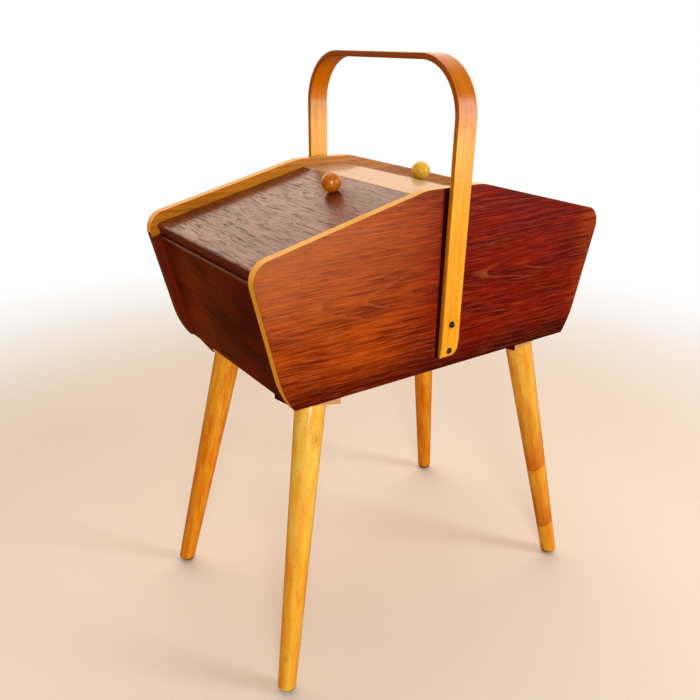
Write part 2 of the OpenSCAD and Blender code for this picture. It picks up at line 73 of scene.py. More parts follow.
def wood(name, light, dark, pore_colour, turn=(0, 0, 0), follows_piece=False, heart=(0, 0, 0),
         tilt=(0, 0, 0), ring=6, ring_share=0.25, line_share=0.0, line_colour=None,
         fleck_share=0.0, wander=5, wander_patch=(160, 50), streak=(170, 2.6), streak_share=0.4,
         fibre=(14, 0.9), fibre_share=0.3, pore=(7, 0.8), pore_share=0.5, pore_limit=0.62,
         patch=(160, 50), patch_share=0.3, knots=(), groove=0.05, roughness=0.4, specular=0.5,
         coat=0.5, coat_roughness=0.15, coat_follows=False, tint=None, shade=None):
    """Sawn and lacquered wood. Every length is in millimetres, along the grain and across it.

    ring is the width of one year's growth, and heart and tilt say where the middle of the tree
    lay. A share says how far a pattern takes the wood from light to dark. tint colours the bare
    wood, and shade goes over its flecks and pores too. Real fibres and pores are about 0.2 mm
    thick, too fine to show, so they are drawn four times as thick or more.
    """
    material = bpy.data.materials.new(name)
    material.use_nodes = True
    tree = material.node_tree
    tree.nodes.clear()
    if follows_piece:
        place = add(tree, "Attribute", attribute_name="grain").outputs["Vector"]
    else:
        place = add(tree, "TexCoord").outputs["Object"]
    grain = add(tree, "Mapping", {"Vector": place, "Rotation": turn, "Scale": (MM, MM, MM)},
                vector_type="TEXTURE").outputs[0]

    def noise(way, size, detail=3.0):
        """Noise whose grains are this long and this thick."""
        scaled = add(tree, "Mapping", {"Vector": way, "Scale": (size[0], size[1], size[1])},
                     vector_type="TEXTURE")
        return add(tree, "TexNoise", {"Vector": scaled.outputs[0], "Scale": 1.0, "Detail": detail})

    def figure(way, size, low=0.3, high=0.7, detail=3.0):
        """The same noise with its usual span drawn out to 0 to 1."""
        return add(tree, "MapRange", {"Value": noise(way, size, detail).outputs["Fac"],
                                      "From Min": low, "From Max": high}).outputs[0]

    # The rings wander with the tree's growth, and the fine grain follows them part of the way.
    fine_follows = 0.35
    drift = noise(grain, wander_patch, 2.0)
    shift = add(tree, "VectorMath", {0: drift.outputs["Color"], 1: (0, 2 * wander, 2 * wander),
                                     2: (0, -wander, -wander)}, operation="MULTIPLY_ADD")
    waved = add(tree, "VectorMath", {0: grain, 1: shift.outputs[0]}, operation="ADD").outputs[0]
    bent = add(tree, "Mix", {"Factor": fine_follows, "A": grain, "B": waved},
               data_type="VECTOR").outputs[1]
    tree_axis = add(tree, "Mapping", {"Vector": waved, "Location": heart, "Rotation": tilt},
                    vector_type="TEXTURE")
    # A wave texture repeats every pi / 10 divided by its scale.
    rings = add(tree, "TexWave", {"Vector": tree_axis.outputs[0], "Scale": pi / 10 / ring},
                wave_type="RINGS", rings_direction="X", wave_profile="SAW").outputs["Fac"]
    streaks = figure(bent, streak)
    fibres = figure(bent, fibre)
    # A patch comes out longer and wider than the grains of its noise.
    patch_grain = (patch[0] * 0.6, patch[1] * 0.5)
    patches = figure(grain, patch_grain)
    pore_edge = 0.08
    pores = figure(bent, pore, pore_limit, pore_limit + pore_edge, 1.5)

    depth = 0.5
    for pattern, share in ((rings, ring_share), (streaks, streak_share), (fibres, fibre_share),
                           (patches, patch_share)):
        part = add(tree, "Math", {0: pattern, 1: share, 2: -share / 2}, operation="MULTIPLY_ADD")
        depth = add(tree, "Math", {0: part.outputs[0], 1: depth}, operation="ADD").outputs[0]
    colour = add(tree, "Mix", {"Factor": depth, "A": linear(light), "B": linear(dark)},
                 data_type="RGBA", clamp_factor=True).outputs["Result"]
    if tint:
        colour = tint(tree, colour)
    if line_share:
        # Each ring starts with a pale line, which patches and fibres break into dashes.
        line_ends, line_full = 0.22, 0.02
        faint_at, clear_at, faintest = 0.3, 0.9, 0.1
        dash_gap = 0.2
        fleck_ends, fleck_full = 0.35, 0.1
        line = add(tree, "MapRange", {"Value": rings, "From Min": line_ends,
                                      "From Max": line_full, "To Max": line_share}).outputs[0]
        fainter = add(tree, "MapRange", {"Value": patches, "From Min": faint_at,
                                         "From Max": clear_at, "To Min": faintest})
        dashes = add(tree, "MapRange", {"Value": fibres, "To Min": dash_gap})
        for broken_by in (fainter, dashes):
            line = add(tree, "Math", {0: line, 1: broken_by.outputs[0]},
                       operation="MULTIPLY").outputs[0]
        flecks = add(tree, "MapRange", {"Value": fibres, "From Min": fleck_ends,
                                        "From Max": fleck_full, "To Max": fleck_share}).outputs[0]
        line = add(tree, "Math", {0: line, 1: flecks}, operation="MAXIMUM").outputs[0]
        colour = add(tree, "Mix", {"Factor": line, "A": colour, "B": linear(line_colour)},
                     data_type="RGBA").outputs["Result"]

    # A knot is an uneven dark spot with a faint ring round it, longer along the grain.
    knot_long = 0.6
    knot_uneven = 0.5
    rim_at, rim_half, rim_share = 1.1, 0.18, 0.2
    eye_from, eye_to, eye_share = 0.9, 0.2, 0.6
    stains = [(pores, pore_share)]
    for spot, size in knots:
        away = add(tree, "VectorMath", {0: waved, 1: spot}, operation="SUBTRACT").outputs[0]
        away = add(tree, "VectorMath", {0: away, 1: (knot_long / size, 1 / size, 1 / size)},
                   operation="MULTIPLY").outputs[0]
        away = add(tree, "VectorMath", {0: away}, operation="LENGTH").outputs["Value"]
        away = add(tree, "Math", {0: streaks, 1: knot_uneven, 2: away},
                   operation="MULTIPLY_ADD").outputs[0]
        rim = add(tree, "Math", {0: away, 1: rim_at, 2: rim_half}, operation="COMPARE").outputs[0]
        eye = add(tree, "MapRange", {"Value": away, "From Min": eye_from, "From Max": eye_to})
        stains += [(rim, rim_share), (eye.outputs[0], eye_share)]
    for mask, share in stains:
        share = add(tree, "Math", {0: mask, 1: share}, operation="MULTIPLY").outputs[0]
        colour = add(tree, "Mix", {"Factor": share, "A": colour, "B": linear(pore_colour)},
                     data_type="RGBA").outputs["Result"]
    if shade:
        colour = shade(tree, colour)

    # Fibres stand up a little and pores lie open.
    fibre_height = 0.4
    height = add(tree, "Math", {0: fibres, 1: fibre_height}, operation="MULTIPLY").outputs[0]
    height = add(tree, "Math", {0: height, 1: pores}, operation="SUBTRACT").outputs[0]
    bump = add(tree, "Bump", {"Height": height, "Distance": groove * MM}).outputs[0]
    lacquer_ior = 1.5
    shader = add(tree, "BsdfPrincipled", {
        "Base Color": colour, "Roughness": roughness, "Normal": bump, "IOR": lacquer_ior,
        "Specular IOR Level": specular, "Coat Weight": coat, "Coat Roughness": coat_roughness,
        "Coat IOR": lacquer_ior})
    if coat_follows:
        # The lacquer sank into pores and soft fibres, so its shine is broken there.
        whole = 0.1
        fibre_sinks, patch_sinks = 0.5, 0.2
        sunk = add(tree, "Math", {0: fibres, 1: fibre_sinks, 2: pores},
                   operation="MULTIPLY_ADD").outputs[0]
        sunk = add(tree, "Math", {0: patches, 1: patch_sinks, 2: sunk},
                   operation="MULTIPLY_ADD").outputs[0]
        film = add(tree, "MapRange", {"Value": sunk, "From Min": whole, "To Min": coat, "To Max": 0})
        tree.links.new(film.outputs[0], shader.inputs["Coat Weight"])
        tree.links.new(bump, shader.inputs["Coat Normal"])
    add(tree, "OutputMaterial", {"Surface": shader.outputs[0]})
    return material


def shaded(piece, body, slot, *materials):
    """Gives a piece its finish, smooth light over its eased edges, and the body it moves with."""
    for material in materials:
        piece.data.materials.append(material)
    piece.data.shade_smooth()
    even = piece.modifiers.new("even light", "WEIGHTED_NORMAL")
    even.weight, even.keep_sharp = 100, True
    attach(piece, body)
    return piece


def linked(shape, name):
    """A finished shape as a piece of its own."""
    mesh = bpy.data.meshes.new(name)
    shape.to_mesh(mesh)
    shape.free()
    piece = bpy.data.objects.new(name, mesh)
    bpy.context.scene.collection.objects.link(piece)
    return piece


SAME_POINT = 0.002 * MM
SAME_PLANE = radians(0.4)
SHARP_EDGE = radians(35)


def eased(node, name, radius, segments=3, arris=-1, chosen=lambda edge: True):
    """A copy of a sawn piece whose sharp edges are eased. arris is the eased strips' material."""
    shape = bmesh.new()
    shape.from_mesh(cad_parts[node].data)
    for face in shape.faces:
        face.material_index = 0
    bmesh.ops.remove_doubles(shape, verts=shape.verts, dist=SAME_POINT)
    bmesh.ops.dissolve_limit(shape, angle_limit=SAME_PLANE, verts=shape.verts, edges=shape.edges)
    sharp = [e for e in shape.edges
             if e.is_manifold and e.calc_face_angle() > SHARP_EDGE and chosen(e)]
    bmesh.ops.bevel(shape, geom=sharp, offset=radius, offset_type="OFFSET", segments=segments,
                    profile=0.5, affect="EDGES", material=arris, clamp_overlap=True)
    piece = linked(shape, name)
    piece.data.materials.clear()
    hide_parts(node)
    return piece


LIP_AND_EDGE_DARK = "#6A1C08"
LEAN = radians(13.8)
HALF_LEN = 225 * MM
CORNER_H = 461 * MM
INNER_Y = 110 * MM
LIP = 9 * MM
LID_UNDER = 22.5 * MM
PANEL_SLACK = 0.2 * MM


def lips_darkened_inside(tree, colour):
    """The inside of the lips beyond the end panels, below the lids, is darkened to a dark red-brown.
    """
    place = add(tree, "SeparateXYZ", {0: add(tree, "TexCoord").outputs["Object"]}).outputs
    out = add(tree, "Math", {0: place["X"]}, operation="ABSOLUTE").outputs[0]
    inward = add(tree, "Math", {0: HALF_LEN, 1: out}, operation="SUBTRACT").outputs[0]
    rise = add(tree, "Math", {0: place["Z"], 1: CORNER_H}, operation="SUBTRACT").outputs[0]
    slope = add(tree, "CombineXYZ", {"X": inward, "Y": rise}).outputs[0]
    along = add(tree, "VectorMath", {0: slope, 1: (cos(LEAN), sin(LEAN), 0)},
                operation="DOT_PRODUCT").outputs["Value"]
    deep = add(tree, "VectorMath", {0: slope, 1: (sin(LEAN), -cos(LEAN), 0)},
               operation="DOT_PRODUCT").outputs["Value"]
    beside = add(tree, "Math", {0: place["Y"]}, operation="ABSOLUTE").outputs[0]
    mask = add(tree, "Math", {0: along, 1: LIP}, operation="LESS_THAN").outputs[0]
    for value, limit, way in ((deep, LID_UNDER, "GREATER_THAN"),
                              (beside, INNER_Y + PANEL_SLACK, "LESS_THAN")):
        inside = add(tree, "Math", {0: value, 1: limit}, operation=way).outputs[0]
        mask = add(tree, "Math", {0: mask, 1: inside}, operation="MULTIPLY").outputs[0]
    return add(tree, "Mix", {"Factor": mask, "A": colour, "B": linear(LIP_AND_EDGE_DARK)},
               data_type="RGBA").outputs["Result"]


# The lacquer gives a soft shine over honey-coloured wood with fine darker flecks.
beech_board = wood("lacquered beech board", BEECH_LIGHT, BEECH_DARK, BEECH_FLECK, ring=7,
                   ring_share=0.3, heart=(0, 90, 250), tilt=(0, 0, radians(3)), streak_share=0.4,
                   fibre_share=0.25, pore=(3, 0.7), pore_limit=0.66, pore_share=0.35,
                   patch_share=0.3, roughness=0.38, specular=0.2, coat=0.25, tint=lips_darkened_inside)
# The sawn edges took up more of it and look yellow.
beech_edge = wood("golden beech edge", "#FFC838", "#F4A21C", BEECH_DARK, ring=7, ring_share=0.2,
                  streak_share=0.4, fibre_share=0.3, pore=(3, 0.7), pore_limit=0.66,
                  pore_share=0.3, roughness=0.35, specular=0.15, coat=0.2)
# The rear panel's downward-facing edges are drawn almost black, as painted shade.
lower_edge_in_shade = wood("beech edge in painted shade", LIP_AND_EDGE_DARK, "#3E0E04", BEECH_FLECK, specular=0.15, coat=0.1)
FLAT_ON = 0.9
DOWNWARD = -0.1
for place in ("front", "rear"):
    board = eased(f"side_panel_{place}", f"{place}_side_panel", EASED_EDGE)
    # Painted shade: on the rear panel the faces that point downwards take the almost black edge.
    edge_below = 2 if place == "rear" else 1
    for face in board.data.polygons:
        on_edge = edge_below if face.normal.z < DOWNWARD else 1
        face.material_index = 0 if abs(face.normal.y) > FLAT_ON else on_edge
    shaded(board, "box", "light_wood", beech_board, beech_edge, lower_edge_in_shade)

# Teak faces. A thin sheet of flat-sawn teak is glued on the outside of each side panel. The
# grain runs along the box, in long pointed arches. A pale painted reflection lies over the top of
# one end, painted shade along the bottom, and the other end is redder, partly painted shade.
TEAK_LIGHT = "#B84E0C"
TEAK_DARK = "#6A1C02"
TEAK_PORE = "#3E0F03"
TEAK_SHEEN = "#C67A4A"
TEAK_RED_AND_SHADE = "#C05418"
TEAK_LOWER_SHADE = "#985840"
TEAK_LINE = "#D07848"
HALF_DEPTH = 120 * MM
VENEER_T = 0.8 * MM
ARRIS = 0.7 * MM
FACE_HEART = (260, 120, 415)
ARCH_TILT = radians(5.1)
REDDER_AND_SHADED_X = (-110 * MM, 15 * MM)
RED_WANES_X = (208 * MM, 178 * MM)
RED_LEFT_OVER = 0.45
LOWER_SHADE_Z = (358 * MM, 322 * MM)
SHEEN_Z = (380 * MM, 480 * MM)
SHEEN_X = (0, -200 * MM)
SHEEN_MOST = 0.65
HANDLE_SHADOW_HALF_W = 15.5 * MM
HANDLE_SHADOW_COLOUR = "#2C0802"


def teak_painted_light(tree, colour):
    """Painted light on the teak: a pale painted reflection over the top of one end, painted shade
    along the bottom, and the other end darker and redder, partly its own tone and partly painted
    shade.
    """
    place = add(tree, "SeparateXYZ", {0: add(tree, "TexCoord").outputs["Object"]}).outputs
    # The right end is darker and redder: partly a redder tone of the wood, partly painted shade.
    redder = add(tree, "MapRange", {"Value": place["X"], "From Min": REDDER_AND_SHADED_X[0],
                                    "From Max": REDDER_AND_SHADED_X[1]},
                 interpolation_type="SMOOTHSTEP").outputs[0]
    kept = add(tree, "MapRange", {"Value": place["X"], "From Min": RED_WANES_X[0],
                                  "From Max": RED_WANES_X[1], "To Min": RED_LEFT_OVER},
               interpolation_type="SMOOTHSTEP").outputs[0]
    redder = add(tree, "Math", {0: redder, 1: kept}, operation="MULTIPLY").outputs[0]
    colour = add(tree, "Mix", {"Factor": redder, "A": colour, "B": linear(TEAK_RED_AND_SHADE)},
                 data_type="RGBA", blend_type="MULTIPLY").outputs["Result"]
    # Painted shade along the bottom of the panel.
    lower = add(tree, "MapRange", {"Value": place["Z"], "From Min": LOWER_SHADE_Z[0],
                                   "From Max": LOWER_SHADE_Z[1]},
                interpolation_type="SMOOTHSTEP").outputs[0]
    colour = add(tree, "Mix", {"Factor": lower, "A": colour, "B": linear(TEAK_LOWER_SHADE)},
                 data_type="RGBA", blend_type="MULTIPLY").outputs["Result"]
    # Painted reflection: a pale pinkish sheen over the upper part of the left end.
    high = add(tree, "MapRange", {"Value": place["Z"], "From Min": SHEEN_Z[0],
                                  "From Max": SHEEN_Z[1]})
    left = add(tree, "MapRange", {"Value": place["X"], "From Min": SHEEN_X[0],
                                  "From Max": SHEEN_X[1], "To Max": SHEEN_MOST})
    share = add(tree, "Math", {0: high.outputs[0], 1: left.outputs[0]}, operation="MULTIPLY")
    return add(tree, "Mix", {"Factor": share.outputs[0], "A": colour, "B": linear(TEAK_SHEEN)},
               data_type="RGBA").outputs["Result"]


def handle_shadow(tree, colour):
    """Painted shadow of the handle, in a dark band beside it and under it, above its lower end."""
    place = add(tree, "SeparateXYZ", {0: add(tree, "TexCoord").outputs["Object"]}).outputs
    beside = add(tree, "Math", {0: place["X"], 1: 0, 2: HANDLE_SHADOW_HALF_W},
                 operation="COMPARE").outputs[0]
    above = add(tree, "Math", {0: place["Z"], 1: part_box("handle")[0][2]}, operation="GREATER_THAN")
    mask = add(tree, "Math", {0: beside, 1: above.outputs[0]}, operation="MULTIPLY").outputs[0]
    return add(tree, "Mix", {"Factor": mask, "A": colour, "B": linear(HANDLE_SHADOW_COLOUR)},
               data_type="RGBA").outputs["Result"]


# Handling has worn the sheet's sharp edges through to the beech, and a painted highlight along
# them brightens that fine pale line.
worn_arris_highlight = wood("worn beech arris with painted highlight", "#FFE2A0", "#F2C06A", BEECH_DARK, specular=0.3, coat=0.3)
# Oil leaves the teak almost dull, with fine dark streaks, short pale dashes and pale arches.
for place, out in (("front", -1), ("rear", 1)):
    teak_face = wood(f"oiled teak veneer {place}", TEAK_LIGHT, TEAK_DARK, TEAK_PORE,
                     heart=(FACE_HEART[0], out * FACE_HEART[1], FACE_HEART[2]),
                     tilt=(0, 0, -out * ARCH_TILT), ring=5.4, ring_share=0.1, line_share=0.45,
                     line_colour=TEAK_LINE, fleck_share=0.14, wander=8, streak=(260, 2.2),
                     streak_share=0.6, fibre=(30, 0.9), fibre_share=1.0, pore=(12, 0.8),
                     pore_share=0.45, pore_limit=0.62, patch=(120, 40), patch_share=0.6,
                     roughness=0.32, specular=0.05, coat=0.0, tint=teak_painted_light, shade=handle_shadow)
    face = eased(f"teak_face_{place}", f"{place}_teak_face", ARRIS, arris=1,
                 chosen=lambda edge: all(abs(v.co.y) > HALF_DEPTH - VENEER_T / 2
                                         for v in edge.verts))
    shaded(face, "box", "teak", teak_face, worn_arris_highlight)

# End panels. A dark teak board closes each end of the box. It stands in from the side panels'
# edges and leans with them, and its grain runs across the box.
DARK_TEAK_LIGHT = "#843206"
DARK_TEAK_DARK = "#3A0700"
FRONT_DARKER = "#D05844"
FRONT_DARKER_Y = (40 * MM, -70 * MM)
ACROSS = (0, 0, radians(90))
END_EASE = 0.5 * MM


def darker_to_front(tree, colour):
    """The end panels are darker and redder towards the front."""
    place = add(tree, "SeparateXYZ", {0: add(tree, "TexCoord").outputs["Object"]}).outputs
    front = add(tree, "MapRange", {"Value": place["Y"], "From Min": FRONT_DARKER_Y[0],
                                   "From Max": FRONT_DARKER_Y[1]},
                interpolation_type="SMOOTHSTEP").outputs[0]
    return add(tree, "Mix", {"Factor": front, "A": colour, "B": linear(FRONT_DARKER)},
               data_type="RGBA", blend_type="MULTIPLY").outputs["Result"]


# Rubbed polish over dark stain: an even dark brown that hardly shines.
dark_teak = wood("polished dark teak", DARK_TEAK_LIGHT, DARK_TEAK_DARK, TEAK_PORE, turn=ACROSS,
                 heart=(0, 60, 300), tilt=(0, 0, radians(5)), ring=7, ring_share=0.25,
                 streak_share=0.3, fibre_share=0.25, patch=(120, 60), patch_share=0.8, pore=(9, 0.8),
                 pore_share=0.3, roughness=0.4, specular=0.04, coat=0.0, tint=darker_to_front)
for place in ("left", "right"):
    shaded(eased(f"end_panel_{place}", f"{place}_end_panel", END_EASE, 2), "box", "dark_teak",
           dark_teak)

# Bottom panel, cleats and corner blocks. Plain planed beech that holds the box together from
# inside. It was glued and screwed in, and not lacquered.
PLAIN_LIGHT = "#E2C295"
PLAIN_DARK = "#C69C66"
PLAIN_FLECK = "#A77A48"
# Bare planed wood, pale and dull.
plain_wood = wood("planed plain beech", PLAIN_LIGHT, PLAIN_DARK, PLAIN_FLECK, ring=10,
                  ring_share=0.3, heart=(0, 30, 250), tilt=(0, 0, radians(2)), pore=(3, 0.7),
                  pore_limit=0.66, pore_share=0.3, roughness=0.6, specular=0.4, coat=0.0)
for node in ("bottom_panel", "bottom_cleats", "corner_blocks"):
    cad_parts[node].data.materials.clear()
    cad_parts[node].data.materials.append(plain_wood)

# Ridge board and its rail. A board of pale beech lies between the two lids, with rounded top
# edges and a glossy lacquer. The rail under it carries the free edges of the lids.
RIDGE_LIGHT = "#D8AC74"
RIDGE_DARK = "#B88A54"
RIDGE_EASE = 0.4 * MM
# A full gloss over pale, even wood, bright enough to mirror the knobs.
pale_board = wood("glossy pale beech", RIDGE_LIGHT, RIDGE_DARK, BEECH_DARK, turn=ACROSS, ring=9,
                  ring_share=0.3, heart=(0, 0, 440), tilt=(0, 0, radians(3)), pore=(3, 0.7),
                  pore_limit=0.67, pore_share=0.25, roughness=0.35, specular=0.15, coat=0.4,
                  coat_roughness=0.08, groove=0.02)
shaded(eased("ridge_board", "top_ridge_board", RIDGE_EASE, 2), "box", "pale_wood", pale_board)
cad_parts["ridge_rail"].data.materials.clear()
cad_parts["ridge_rail"].data.materials.append(pale_board)

# Lids. Each is a teak board that opens outwards over the end of the box. The grain runs across
# the box, and its open pores show as short dark lines through the glossy lacquer.
LID_LIGHT = "#80260A"
LID_DARK = "#3E0C02"
LID_PORE = "#1C0501"
LID_EASE = 0.5 * MM
SQUARE_ON = 0.7
# The sawn edges took up more stain and look almost black-red.
lid_edge = wood("dark stained teak edge", "#6E160A", "#440A03", LID_PORE, turn=ACROSS, ring=8,
                streak=(60, 2.2), fibre_share=0.3, pore_share=0.3, roughness=0.4, specular=0.15,
                coat=0.15, coat_roughness=0.2)
# The gloss mirrors the pale wall, except in the pores and fibres, which stay dark.
lid_teak = wood("glossy open-pored teak", LID_LIGHT, LID_DARK, LID_PORE, turn=ACROSS,
                heart=(0, 40, 380), tilt=(0, radians(4), 0), ring=8, ring_share=0.2, wander=10,
                wander_patch=(48, 22), streak=(70, 2.4), streak_share=0.5, fibre=(24, 0.9),
                fibre_share=1.0, pore=(40, 1.4), pore_share=0.9, pore_limit=0.6,
                patch=(90, 35), patch_share=0.5, groove=0.16, roughness=0.3, specular=0.1, coat=1.0,
                coat_roughness=0.07, coat_follows=True)
for side, out in (("left", -1), ("right", 1)):
    board = eased(f"lid_{side}", f"{side}_lid", LID_EASE, 2)
    square_up = Vector((out * sin(LEAN), 0, cos(LEAN)))
    for face in board.data.polygons:
        face.material_index = 0 if abs(face.normal.dot(square_up)) > SQUARE_ON else 1
    shaded(board, f"lid_{side}", "teak", lid_teak, lid_edge)

# Hinges. A long strip of thin rolled brass along the outer edge of each lid, browned with age
# and with the lids' stain, with small countersunk screws.
BRASS = "#8E5430"
BRASS_DULL = "#52291A"


def mottled(name, tone, spot_tone, spot, detail, roughness, bump=0.0, **other):
    """A metal or plastic with spots of this size in metres. Two roughnesses are its range."""
    material = bpy.data.materials.new(name)
    material.use_nodes = True
    tree = material.node_tree
    tree.nodes.clear()
    spots = add(tree, "TexNoise", {"Vector": add(tree, "TexCoord").outputs["Object"],
                                   "Scale": 1 / spot, "Detail": detail}).outputs["Fac"]
    colour = add(tree, "Mix", {"Factor": spots, "A": linear(tone), "B": linear(spot_tone)},
                 data_type="RGBA").outputs["Result"]
    if isinstance(roughness, tuple):
        roughness = add(tree, "MapRange", {"Value": spots, "To Min": roughness[0],
                                           "To Max": roughness[1]}).outputs[0]
    looks = {"Base Color": colour, "Roughness": roughness, **other}
    if bump:
        looks["Normal"] = add(tree, "Bump", {"Height": spots, "Distance": bump}).outputs[0]
    shader = add(tree, "BsdfPrincipled", looks)
    add(tree, "OutputMaterial", {"Surface": shader.outputs[0]})
    return material


# Rolled brass gone brown in spots, so that it glints only here and there.
brass = mottled("dull rolled brass", BRASS, BRASS_DULL, 6 * MM, 4.0, (0.35, 0.6), Metallic=1.0)
for side in ("left", "right"):
    for part in ("panel_leaf", "lid_leaf", "pin", "panel_screws", "lid_screws"):
        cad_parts[f"hinge_{side}_{part}"].data.materials.clear()
        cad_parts[f"hinge_{side}_{part}"].data.materials.append(brass)

# Knobs. Two turned balls of beech, one lacquered brown and one yellow, each cut flat where it
# sits on its lid and held by a screw from below.
KNOB_STEPS = 48
KNOB_FLAT = 0.8 * MM
KNOB_EASE = 0.4 * MM
# Thick lacquer over close-grained wood: clear small reflections, and rings only faintly seen.
knob_woods = {
    "left": wood("brown lacquered turned beech", "#EC8A12", "#A84A02", "#6A2E06",
                 turn=(0, radians(90), 0), ring=3, ring_share=0.4, wander=1.5, streak=(20, 1.6),
                 fibre=(12, 0.9), pore=(3, 0.7), pore_share=0.4, patch=(14, 8), roughness=0.25,
                 specular=0.2, coat=0.6, coat_roughness=0.05, groove=0.02),
    "right": wood("yellow lacquered turned beech", "#FFDC4A", "#FFBA1A", "#A9661A",
                  turn=(0, radians(90), 0), ring=3, ring_share=0.4, wander=1.5, streak=(20, 1.6),
                  fibre=(12, 0.9), pore=(3, 0.7), pore_share=0.4, patch=(14, 8), roughness=0.25,
                  specular=0.2, coat=0.6, coat_roughness=0.05, groove=0.02)}
for side, out in (("left", -1), ("right", 1)):
    low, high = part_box(f"knob_{side}")
    radius = (high[0] - low[0]) / 2
    centre = Vector(((low[0] + high[0]) / 2, 0, high[2] - radius))
    up = Matrix.Rotation(out * LEAN, 4, "Y")
    shape = bmesh.new()
    bmesh.ops.create_uvsphere(shape, u_segments=KNOB_STEPS, v_segments=KNOB_STEPS // 2,
                              radius=radius)
    cut = bmesh.ops.bisect_plane(shape, geom=[*shape.verts, *shape.edges, *shape.faces],
                                 plane_co=(0, 0, KNOB_FLAT - radius), plane_no=(0, 0, -1),
                                 clear_outer=True)
    rim = [e for e in cut["geom_cut"] if isinstance(e, bmesh.types.BMEdge)]
    bmesh.ops.holes_fill(shape, edges=rim, sides=0)
    bmesh.ops.bevel(shape, geom=rim, offset=KNOB_EASE, offset_type="OFFSET", segments=2,
                    profile=0.5, affect="EDGES", material=-1)
    bmesh.ops.transform(shape, matrix=Matrix.Translation(centre) @ up, verts=shape.verts)
    bmesh.ops.recalc_face_normals(shape, faces=shape.faces)
    ball = linked(shape, f"{side}_ball_knob")
    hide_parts(f"knob_{side}")
    shaded(ball, f"lid_{side}", "brown_knob_wood" if side == "left" else "yellow_knob_wood",
           knob_woods[side])

# Handle. One strap of beech, steamed and bent over a form, with rounded edges, thinned at both
# ends and screwed to the outside of the box under a golden lacquer.
STRAP_W = 23.5 * MM
STRAP_T = 6 * MM
STRAP_TIP_T = 4 * MM
STRAP_TIP = 18 * MM
STRAP_CORNER = 9 * MM
STRAP_FREE = 43.5 * MM
STRAP_EDGE = 1.3 * MM
STRAP_LEAN_OUT = 3.4 * MM
BEND_R = 57 * MM
BEND_STEPS = 40
AT_THE_END = 0.1 * MM
MERGE = 0.01 * MM
SHARP_CORNER = radians(50)
low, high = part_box("handle")
free_z = low[2] + STRAP_FREE


def upright(t, z):
    """A place on one side of the strap, t out from its inside, at height z."""
    return HALF_DEPTH + t + max(0, z - free_z) * strap_lean


strap_lean = STRAP_LEAN_OUT / (high[2] - STRAP_T - free_z)
bend_z = high[2] - BEND_R
turned = pi / 2 + atan2(strap_lean, 1)
bend_y = upright(STRAP_T, bend_z) - BEND_R * hypot(1, strap_lean)
shape = bmesh.new()
foot = [shape.verts.new((x, y, low[2])) for x, y in (
    (-STRAP_W / 2, HALF_DEPTH), (STRAP_W / 2, HALF_DEPTH),
    (STRAP_W / 2, HALF_DEPTH + STRAP_TIP_T), (-STRAP_W / 2, HALF_DEPTH + STRAP_TIP_T))]
rim = list(shape.faces.new(foot).edges)
bend_start = bend_z + BEND_R * strap_lean


def drawn_on(edges):
    """Draws the strap's open end further out, and gives that end's new edges and corners."""
    grown = bmesh.ops.extrude_edge_only(shape, edges=edges)["geom"]
    return ([g for g in grown if isinstance(g, bmesh.types.BMEdge)],
            [g for g in grown if isinstance(g, bmesh.types.BMVert)])


for z in (low[2] + STRAP_TIP, free_z, bend_start):
    rim, corners = drawn_on(rim)
    for vert in corners:
        outside = vert.co.y > HALF_DEPTH + STRAP_T / 2
        vert.co = (vert.co.x, upright(STRAP_T if outside else 0, z), z)
spun = bmesh.ops.spin(shape, geom=[*rim, *corners], cent=(0, bend_y, bend_z), axis=(1, 0, 0),
                      dvec=(0, 0, 0), angle=turned, space=Matrix.Identity(4), steps=BEND_STEPS,
                      use_merge=False, use_normal_flip=False, use_duplicate=False)
rim = [g for g in spun["geom_last"] if isinstance(g, bmesh.types.BMEdge)]
for vert in drawn_on(rim)[1]:
    vert.co.y = 0
bmesh.ops.recalc_face_normals(shape, faces=shape.faces)
corner = [e for e in shape.edges
          if all(v.co.z < low[2] + AT_THE_END and v.co.x > 0 for v in e.verts)]
bmesh.ops.bevel(shape, geom=corner, offset=STRAP_CORNER, offset_type="OFFSET", segments=8,
                profile=0.5, affect="EDGES", material=-1)
bmesh.ops.mirror(shape, geom=[*shape.verts, *shape.edges, *shape.faces], axis="Y",
                 merge_dist=MERGE)
bmesh.ops.remove_doubles(shape, verts=shape.verts, dist=MERGE)
bmesh.ops.recalc_face_normals(shape, faces=shape.faces)
sharp = [e for e in shape.edges if e.is_manifold and e.calc_face_angle() > SHARP_CORNER]
bmesh.ops.bevel(shape, geom=sharp, offset=STRAP_EDGE, offset_type="OFFSET", segments=4,
                profile=0.5, affect="EDGES", material=-1)
strap = linked(shape, "bent_strap_handle")
bend_end = BEND_R * pi / 2 + bend_y


def along_strap(co):
    """The place of a point in the straight strap, before it was bent, in metres."""
    side, y = (1 if co.y > 0 else -1), abs(co.y)
    if co.z < bend_z:
        way, depth = co.z - bend_z, y
    elif y < bend_y:
        way, depth = BEND_R * pi / 2 + bend_y - y, bend_y + co.z - bend_z
    else:
        way = BEND_R * atan2(co.z - bend_z, y - bend_y)
        depth = bend_y + hypot(y - bend_y, co.z - bend_z)
    return Vector((side * (bend_end - way), co.x, depth))


def marked(piece, place):
    """Notes on a piece where each of its points lies along the grain."""
    grain = piece.data.attributes.new("grain", "FLOAT_VECTOR", "POINT")
    for vert, mark in zip(piece.data.vertices, grain.data):
        mark.vector = place(vert.co)


marked(strap, along_strap)
BEND_SHADE = "#D6AC38"
BEND_SHADE_FROM = bend_end + 28 * MM
BEND_SHADE_TO = bend_end - 20 * MM


